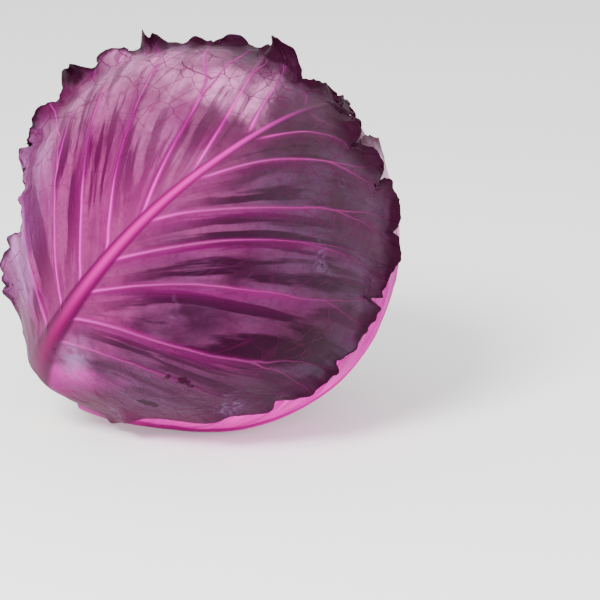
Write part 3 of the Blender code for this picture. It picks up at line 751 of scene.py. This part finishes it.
    # The bloom is rubbed into bluish scuffs, painted paler as a bluish sheen, above all beside the midrib's
    # foot
    colour = blend(waxy["Rubbed Wax And Sheen"] * (1.0 - veins["Midrib"]) * 0.3, colour, bloom)
    foot_scuff_and_sheen = bell(rib_gap - 13 * MM, 6 * MM) * bell(along - 0.165, 0.05)
    foot_scuff_and_sheen = foot_scuff_and_sheen * ramp(reach, 0.0, 0.05) * ramp(flecks, 0.0, 0.8, 0.9, 0.3)
    colour = blend(foot_scuff_and_sheen * 0.5, colour, bloom)
    join(colour, skin.inputs["Base Color"])
    join(0.42 + waxy["Bloom"] * 0.2 - waxy["Rubbed Wax And Sheen"] * 0.12, skin.inputs["Roughness"])
    skin.inputs["Specular IOR Level"].default_value = 0.05
    skin.inputs["Specular Tint"].default_value = (1.0, 0.35, 0.8, 1.0)
    wrinkles = low_right * ramp(mottle(place, 120.0, 6.0, seed + 15), 0.42, 0.58)
    grain = mottle(place, 900.0, 3.0) * 0.16 + mottle(place, 160.0, 4.0) * 0.5 + wrinkles * 0.9
    add_grain(skin, veins["Height"] + grain, 0.6 * MM, 0.8)
    return material


outer_skin = leaf_finish(
    "outer_wrapper_skin", LEAVES[0], blade=(0.19, 0.022, 0.106), right_tone_and_shade=(0.078, 0.012, 0.049),
    deep=(0.016, 0.0006, 0.009), wine=(0.052, 0.0008, 0.027), outer=(0.60, 0.195, 0.425),
    shaded=(0.026, 0.0155, 0.021), dull=(0.066, 0.0185, 0.047), lilac=(0.34, 0.115, 0.36),
    vein=(0.60, 0.010, 0.39), band=(0.155, 0.0002, 0.088), rib=(0.40, 0.0002, 0.20),
    rib_shade_and_net=(0.050, 0.0002, 0.026), foot=(0.085, 0.013, 0.047), flank=(0.76, 0.003, 0.46),
    plum=(0.018, 0.0018, 0.0095), inside=(0.060, 0.002, 0.024), tip=(0.050, 0.019, 0.036),
    bloom=(0.26, 0.16, 0.34), bloom_amount=0.2, seed=1.0)
unfold_leaf(grow_sheet(LEAVES[0], 0, 26, 64, 3.2 * MM), outer_skin, veins=10.0, seed=1.0,
            frill_height=3.4 * MM, frill_length=9 * MM, frill_width=6.5 * MM, pucker_height=1.1 * MM)

# The other two wrapper leaves, one under the first that the head lies on, and one round the back.
# The same living blade, fresher and less weathered where the first leaf shaded it. Each grew from
# its own place on the stem, a third of a turn or so from the last.

inner_skin = leaf_finish(
    "under_wrapper_skin", LEAVES[1], blade=(0.88, 0.0005, 0.51), right_tone_and_shade=(0.26, 0.001, 0.15),
    deep=(0.24, 0.0006, 0.13), wine=(0.36, 0.0006, 0.20), outer=(0.30, 0.010, 0.19),
    shaded=(0.12, 0.008, 0.07), dull=(0.30, 0.002, 0.17), lilac=(0.62, 0.003, 0.37),
    vein=(0.66, 0.02, 0.42), band=(0.42, 0.0004, 0.24), rib=(0.60, 0.003, 0.36),
    rib_shade_and_net=(0.24, 0.0005, 0.13), foot=(0.30, 0.03, 0.18), flank=(0.60, 0.001, 0.36),
    plum=(0.03, 0.002, 0.014), inside=(0.10, 0.001, 0.035), tip=(0.52, 0.36, 0.47),
    bloom=(0.34, 0.02, 0.24), bloom_amount=0.1, seed=4.0)
back_skin = leaf_finish(
    "back_wrapper_skin", LEAVES[2], blade=(0.30, 0.002, 0.17), right_tone_and_shade=(0.20, 0.003, 0.12),
    deep=(0.055, 0.001, 0.030), wine=(0.085, 0.0010, 0.045), outer=(0.27, 0.07, 0.18),
    shaded=(0.24, 0.010, 0.14), dull=(0.12, 0.012, 0.075), lilac=(0.28, 0.045, 0.215),
    vein=(0.46, 0.03, 0.29), band=(0.20, 0.0005, 0.11), rib=(0.42, 0.002, 0.24),
    rib_shade_and_net=(0.075, 0.0005, 0.040), foot=(0.12, 0.02, 0.066), flank=(0.36, 0.006, 0.21),
    plum=(0.010, 0.002, 0.005), inside=(0.045, 0.001, 0.014), tip=(0.24, 0.09, 0.17),
    bloom=(0.20, 0.085, 0.20), bloom_amount=0.4, seed=6.0)
for layer, skin in ((1, inner_skin), (2, back_skin)):
    leaf = LEAVES[layer]
    unfold_leaf(grow_sheet(leaf, layer, 18, 50, 2.6 * MM), skin, veins=float(leaf["veins"]),
                seed=1.0 + layer, frill_height=4 * MM, frill_length=10 * MM, frill_width=7 * MM,
                pucker_height=1.0 * MM)

# The closed head's own leaves, which show only at the crown and beside the stem. They are paler
# and smoother, because they grew shut away from the light, and each tip folds over the crown.

for layer in (3, 4, 5):
    leaf = LEAVES[layer]
    skin = leaf_finish(
        leaf["name"] + "_skin", leaf, blade=(0.30, 0.09, 0.21), right_tone_and_shade=(0.30, 0.10, 0.22),
        deep=(0.14, 0.03, 0.095), wine=(0.18, 0.03, 0.12), outer=(0.50, 0.27, 0.42),
        shaded=(0.44, 0.23, 0.37), dull=(0.36, 0.14, 0.28), lilac=(0.40, 0.16, 0.33),
        vein=(0.60, 0.28, 0.48), band=(0.26, 0.04, 0.17), rib=(0.56, 0.22, 0.42),
        rib_shade_and_net=(0.22, 0.045, 0.15), foot=(0.34, 0.12, 0.24), flank=(0.32, 0.10, 0.22),
        plum=(0.12, 0.03, 0.085), inside=(0.20, 0.05, 0.14), tip=(0.52, 0.36, 0.46),
        bloom=(0.50, 0.34, 0.48), bloom_amount=0.6, seed=9.0 + layer)
    unfold_leaf(grow_sheet(leaf, layer, 14, 36, 1.4 * MM), skin, veins=float(leaf["veins"]),
                seed=1.0 + layer, rib_height=0.8 * MM, flute_height=0.6 * MM, frill_height=2.2 * MM,
                frill_length=12 * MM, frill_width=7 * MM, pucker_height=0.7 * MM)

# The heart: several dozen young leaves packed so tightly that they make one firm ball, with the
# edges of the outer ones winding up to the crown. The stem's core runs up into a hole in it. It
# shows only in the gaps beside the stem.

HEART_LAYER = 6
HEART_SECTORS, HEART_RINGS = 192, 96
HEART_STEPS, HEART_TWIST = 3, 1.4
HEART_STEP_HEIGHT = 1.6 * MM
CORE_TIP_RADIUS, CORE_TIP_REACH = 12.5 * MM, 6 * MM
CORE_NARROWS_AT = -71.6 * MM
CORE_CLEARANCE = 0.5 * MM
HOLE_MOUTH_AT = 80.5 * MM


def core_profile(extra):
    """The core's half-section, as distances from the axis and along it, up to its blunt tip."""
    turn = np.linspace(0, math.pi / 2, 13)
    radius, middle = CORE_TIP_RADIUS + extra, CORE_TIP_REACH - CORE_TIP_RADIUS
    side = np.linspace(0, 1, 24)[:-1]
    away = STEM_RADIUS + extra + (radius - STEM_RADIUS - extra) * side
    up = CORE_NARROWS_AT + (middle - CORE_NARROWS_AT) * side
    away = np.concatenate([away, radius * np.cos(turn)])
    up = np.concatenate([up, middle + radius * np.sin(turn)])
    return away, up


def around_axis(away, up, turn):
    """Points at distances from the head's axis and along it, at a turn about it."""
    return (up[..., None] * CROWN + (away * np.cos(turn))[..., None] * FRONT
            + (away * np.sin(turn))[..., None] * BESIDE)


def close_rings(name, rings, facts):
    """A closed body from rings of points, whose first and last rings have shrunk to a point."""
    rows, sectors = rings.shape[:2]

    def flat(values):
        middle = values[1:-1].reshape(-1, *values.shape[2:])
        return np.concatenate([values[0, :1], middle, values[-1, :1]])

    number = 1 + np.arange((rows - 2) * sectors).reshape(rows - 2, sectors)
    after = np.roll(number, -1, axis=1)
    faces = np.stack([number[:-1], after[:-1], after[1:], number[1:]], -1).reshape(-1, 4).tolist()
    faces += [(0, b, a) for a, b in zip(number[0].tolist(), after[0].tolist())]
    last = 1 + (rows - 2) * sectors
    faces += [(last, a, b) for a, b in zip(number[-1].tolist(), after[-1].tolist())]
    mesh = bpy.data.meshes.new(name)
    mesh.from_pydata(flat(rings).tolist(), [], faces)
    keep_facts(mesh, {fact: flat(values) for fact, values in facts.items()})
    sewn = bmesh.new()
    sewn.from_mesh(mesh)
    bmesh.ops.recalc_face_normals(sewn, faces=sewn.faces)
    sewn.to_mesh(mesh)
    sewn.free()
    mesh.shade_smooth()
    return new_object(name, mesh)


def pack_heart():
    """The ball of young leaves, with the edges that wind up it and the hole for the core."""
    from_crown = np.linspace(0, 1, HEART_RINGS + 1)
    rim = math.asin((STEM_RADIUS + CORE_CLEARANCE) / HOLE_MOUTH_AT)
    from_stem = (math.pi - from_crown * (math.pi - rim))[:, None]
    turn = np.linspace(0, 2 * math.pi, HEART_SECTORS, endpoint=False)[None]
    away, up = np.sin(from_stem), np.broadcast_to(-np.cos(from_stem), (HEART_RINGS + 1, HEART_SECTORS))
    directions = around_axis(np.broadcast_to(away, up.shape), up, turn)
    winding = (turn / (2 * math.pi) * HEART_STEPS + HEART_TWIST * from_stem / math.pi) % 1
    step = HEART_STEP_HEIGHT * winding * smoothstep(1, 0.965, winding) * np.sin(from_stem) ** 0.5
    wrinkles = 0.5 * MM * np.sin(9 * winding + 5 * from_stem) * np.sin(from_stem) * np.sin(14 * from_stem)
    ball = directions * (layer_radius(directions, HEART_LAYER) - step + wrinkles)[..., None]
    away, up = core_profile(CORE_CLEARANCE)
    hole = around_axis(*np.broadcast_arrays(away[:, None], up[:, None]), turn)
    deep = np.zeros(hole.shape[:2])
    facts = dict(winding=np.concatenate([winding, deep]),
                 outside=np.concatenate([np.ones(winding.shape), deep]),
                 height=np.concatenate([np.broadcast_to(from_stem / math.pi, winding.shape), deep]))
    return close_rings("heart_packed", settle(np.concatenate([ball, hole])), facts)


def heart_finish():
    """Pale young leaf, deeper along each wound edge, with faint veins that run up to the crown."""
    material, skin, place = new_finish("heart_skin")
    winding, height, outside = facts_of(material, "winding", "height", "outside")
    veins = ramp(mottle(trio(winding * 9.0, height * 2.0, 0.0), 1.6, 4.0), 0.46, 0.56)
    colour = blend(ramp(mottle(place, 40.0, 4.0), 0.35, 0.65), (0.34, 0.13, 0.25), (0.46, 0.24, 0.38))
    colour = blend(veins * 0.6, colour, (0.20, 0.035, 0.13))
    colour = blend(ramp(winding, 0.8, 0.98, 0.0, 0.85), colour, (0.15, 0.02, 0.09))
    colour = blend(outside, (0.50, 0.40, 0.30), colour)
    join(colour, skin.inputs["Base Color"])
    join(ramp(mottle(place, 90.0, 2.0), 0.3, 0.7, 0.36, 0.56), skin.inputs["Roughness"])
    skin.inputs["Specular IOR Level"].default_value = 0.1
    add_grain(skin, mottle(place, 200.0, 4.0) + veins, 0.5 * MM)
    return material


heart = pack_heart()
heart.data.materials.append(heart_finish())
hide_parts("heart")
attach(heart, "root")

# The stem: a woody stalk, cut across with a knife when the head was picked, which runs on inside
# as the pale core. Its side is green and purple bark with the sunken scars of lost leaves, and its
# cut face cream pith, a little shrunk and cracked, inside a ring of wood that stands proud.

STEM_END = 95.5 * MM
STEM_RIM_ROUNDING = 1.5 * MM
STEM_SECTORS = 168
SCARS = 8
SCAR_TURN = math.radians(137.5)
SCAR_STEP = 2.9 * MM
SCAR_SIZE = (7.5 * MM, 2.6 * MM)
SCAR_DEPTH, SCAR_LIP = 0.5 * MM, 0.45 * MM
PITH_DISH = 0.55 * MM
WOOD_RING, WOOD_RING_STANDS = 0.78, 0.35 * MM
KNIFE_MARK_SPACING, KNIFE_MARK_HEIGHT = 2.3 * MM, 0.09 * MM
CRACKS = ((0.6, 9 * MM), (2.5, 7 * MM), (4.4, 8 * MM))
CRACK_DEPTH, CRACK_WIDTH = 0.9 * MM, 0.35 * MM


def cut_stem():
    """The stem and the core as one turned body, marked by the knife, the drying and the lost leaves."""
    turn = np.linspace(0, 2 * math.pi, STEM_SECTORS, endpoint=False)[None]
    flat = STEM_RADIUS - STEM_RIM_ROUNDING
    rim = np.linspace(0, math.pi / 2, 8)[1:]
    side = np.linspace(-STEM_END + STEM_RIM_ROUNDING, CORE_NARROWS_AT, 44)[1:-1]
    core_away, core_up = core_profile(0.0)
    away = np.concatenate([np.linspace(0, flat, 34), flat + STEM_RIM_ROUNDING * np.sin(rim),
                           np.full(len(side), STEM_RADIUS), core_away])[:, None]
    up = np.concatenate([np.full(34, -STEM_END), -STEM_END + STEM_RIM_ROUNDING * (1 - np.cos(rim)), side,
                         core_up])[:, None]
    away, up, turn = np.broadcast_arrays(away, up, turn)
    share = away / STEM_RADIUS
    from_cut = up + STEM_END
    on_face = smoothstep(1.4 * MM, 0.2 * MM, from_cut) * smoothstep(0.985, 0.93, share)
    x, y = away * np.cos(turn), away * np.sin(turn)
    # The cut face: a dished pith, the proud ring, knife marks across it, and drying cracks
    lift = -PITH_DISH * np.exp(-((share / 0.5) ** 2))
    lift += WOOD_RING_STANDS * np.exp(-(((share - WOOD_RING) / 0.07) ** 2))
    knife = (x + 0.25 * y + 0.4 * MM * np.sin(y / (3 * MM))) / KNIFE_MARK_SPACING
    lift += KNIFE_MARK_HEIGHT * np.sin(2 * math.pi * knife)
    lift += 0.10 * MM * np.sin(26 * turn + 3 * share) * smoothstep(0.45, 0.8, share)
    for angle, length in CRACKS:
        ahead = x * math.cos(angle) + y * math.sin(angle)
        beside = -x * math.sin(angle) + y * math.cos(angle) + 0.5 * MM * np.sin(ahead / (1.4 * MM))
        crack = np.exp(-((beside / CRACK_WIDTH) ** 2)) * (ahead > 0)
        lift -= CRACK_DEPTH * crack * smoothstep(length, 0.4 * length, ahead)
    # The side: lengthwise ridges, and the scar of each lost leaf, sunken inside a raised lip
    bark = smoothstep(0.8 * MM, 3 * MM, from_cut)
    bark *= smoothstep(CORE_NARROWS_AT, CORE_NARROWS_AT - 4 * MM, up)
    swell = 0.16 * MM * np.sin(11 * turn + 1.3) + 0.12 * MM * np.sin(27 * turn + from_cut / (2.2 * MM))
    scar = np.zeros(away.shape)
    for n in range(SCARS):
        off = (turn - n * SCAR_TURN + math.pi) % (2 * math.pi) - math.pi
        across, down = STEM_RADIUS * off, from_cut - (2.5 * MM + n * SCAR_STEP)
        gap = np.hypot(across / SCAR_SIZE[0], (down + across**2 / (40 * MM)) / SCAR_SIZE[1])
        swell += SCAR_LIP * np.exp(-(((gap - 1) / 0.25) ** 2)) - SCAR_DEPTH * smoothstep(1, 0.7, gap)
        scar = np.maximum(scar, smoothstep(1.15, 0.8, gap))
    away = away + swell * bark
    up = up - lift * on_face
    points = settle(around_axis(away, up, turn))
    facts = dict(share=share, cut=on_face, from_cut=from_cut, scar=scar * bark, round_x=np.cos(turn),
                 round_y=np.sin(turn))
    return close_rings("stem_cut", points, facts)


def stem_finish():
    """Cream pith with a darker ring of wood, dried brown in places, and green and purple bark."""
    material, skin, place = new_finish("stem_bark_and_pith")
    share, cut, from_cut, scar, round_x, round_y = facts_of(
        material, "share", "cut", "from_cut", "scar", "round_x", "round_y")
    rays = mottle(trio(round_x, round_y, share * 0.35), 9.0, 3.0)
    dots = mottle(place, 700.0, 2.0)
    face = blend(ramp(share, 0.25, 0.65), (0.66, 0.58, 0.38), (0.58, 0.47, 0.26))
    ring = bell(share - WOOD_RING, 0.10) * ramp(rays, 0.38, 0.6, 0.35, 1.0)
    face = blend(ring, face, (0.36, 0.26, 0.12))
    face = blend(ramp(share, 0.86, 0.93), face, (0.42, 0.40, 0.20))
    face = blend(ramp(mottle(place, 95.0, 4.0), 0.5, 0.68, 0.0, 0.65), face, (0.30, 0.19, 0.09))
    face = blend(ramp(dots, 0.55, 0.7, 0.0, 0.4), face, (0.24, 0.16, 0.08))
    fibres = mottle(trio(round_x * 22.0, round_y * 22.0, from_cut * 120.0), 1.0, 4.0)
    bark = blend(ramp(mottle(place, 55.0, 4.0), 0.42, 0.6), (0.34, 0.33, 0.17), (0.22, 0.06, 0.13))
    bark = blend(ramp(fibres, 0.42, 0.66, 0.0, 0.6), bark, (0.17, 0.13, 0.07))
    bark = blend(scar * ramp(dots, 0.3, 0.6, 0.6, 0.9), bark, (0.27, 0.19, 0.11))
    bark = blend(ramp(from_cut, 18 * MM, 24 * MM), bark, (0.66, 0.60, 0.42))
    join(blend(cut, bark, face), skin.inputs["Base Color"])
    join(ramp(dots, 0.3, 0.7, 0.55, 0.8), skin.inputs["Roughness"])
    skin.inputs["Specular IOR Level"].default_value = 0.25
    add_grain(skin, rays + fibres * 0.8 + dots * 0.5, 0.4 * MM)
    return material


stem = cut_stem()
stem.data.materials.append(stem_finish())
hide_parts("stem")
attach(stem, "root")

# The table, the light and the camera. A pale matt table that runs out of sight, one broad soft
# light from the upper left, a weak fill from the right, and the camera just above table height.

FAR = 6.0

table_mesh = bpy.data.meshes.new("table")
table_mesh.from_pydata([(-FAR, -FAR, 0), (FAR, -FAR, 0), (FAR, FAR, 0), (-FAR, FAR, 0)], [], [(0, 1, 2, 3)])
table = new_object("table", table_mesh)
table_finish = bpy.data.materials.new("pale_table")
table_finish.use_nodes = True
table_shader = table_finish.node_tree.nodes["Principled BSDF"]
table_shader.inputs["Base Color"].default_value = (0.9, 0.9, 0.9, 1)
table_shader.inputs["Roughness"].default_value = 0.85
table_shader.inputs["Emission Color"].default_value = (1, 1, 1, 1)
table_shader.inputs["Emission Strength"].default_value = 0.3
table_mesh.materials.append(table_finish)

sky = bpy.data.worlds.new("studio")
sky.use_nodes = True
sky.node_tree.nodes["Background"].inputs["Color"].default_value = (1, 1, 1, 1)
sky.node_tree.nodes["Background"].inputs["Strength"].default_value = 1.2
bpy.context.scene.world = sky


def place_light(name, position, target, size, power):
    lamp = bpy.data.lights.new(name, "AREA")
    lamp.shape, lamp.size, lamp.energy = "DISK", size, power
    light = new_object(name, lamp)
    light.location = position
    aim = Vector(target) - Vector(position)
    light.rotation_euler = aim.to_track_quat("-Z", "Y").to_euler()


place_light("window_light", (-0.75, -0.75, 1.05), (0, 0, 0.09), 0.6, 45)
place_light("fill_light", (1.0, -0.9, 0.5), (0, 0, 0.09), 0.8, 9)

LENS, SENSOR = 150.0, 36.0
FRAME_WIDTH = 278 * MM
AZIMUTH, ELEVATION = math.radians(-12.25), math.radians(15)
HEAD_IN_FRAME = (213 / 600, 239 / 600)

centre = Vector((0, 0, CENTRE_HEIGHT))
back = Vector((math.sin(AZIMUTH) * math.cos(ELEVATION), -math.cos(AZIMUTH) * math.cos(ELEVATION),
                  math.sin(ELEVATION)))
right = Vector((math.cos(AZIMUTH), math.sin(AZIMUTH), 0))
up = back.cross(right)
stand = centre + back * (FRAME_WIDTH * LENS / SENSOR)
aim = centre + right * (0.5 - HEAD_IN_FRAME[0]) * FRAME_WIDTH - up * (0.5 - HEAD_IN_FRAME[1]) * FRAME_WIDTH
camera_data = bpy.data.cameras.new("camera")
camera_data.lens, camera_data.sensor_width = LENS, SENSOR
camera_data.clip_start, camera_data.clip_end = 0.01, 30
camera = new_object("camera", camera_data)
camera.location = stand
camera.rotation_euler = (aim - stand).to_track_quat("-Z", "Y").to_euler()
bpy.context.scene.camera = camera
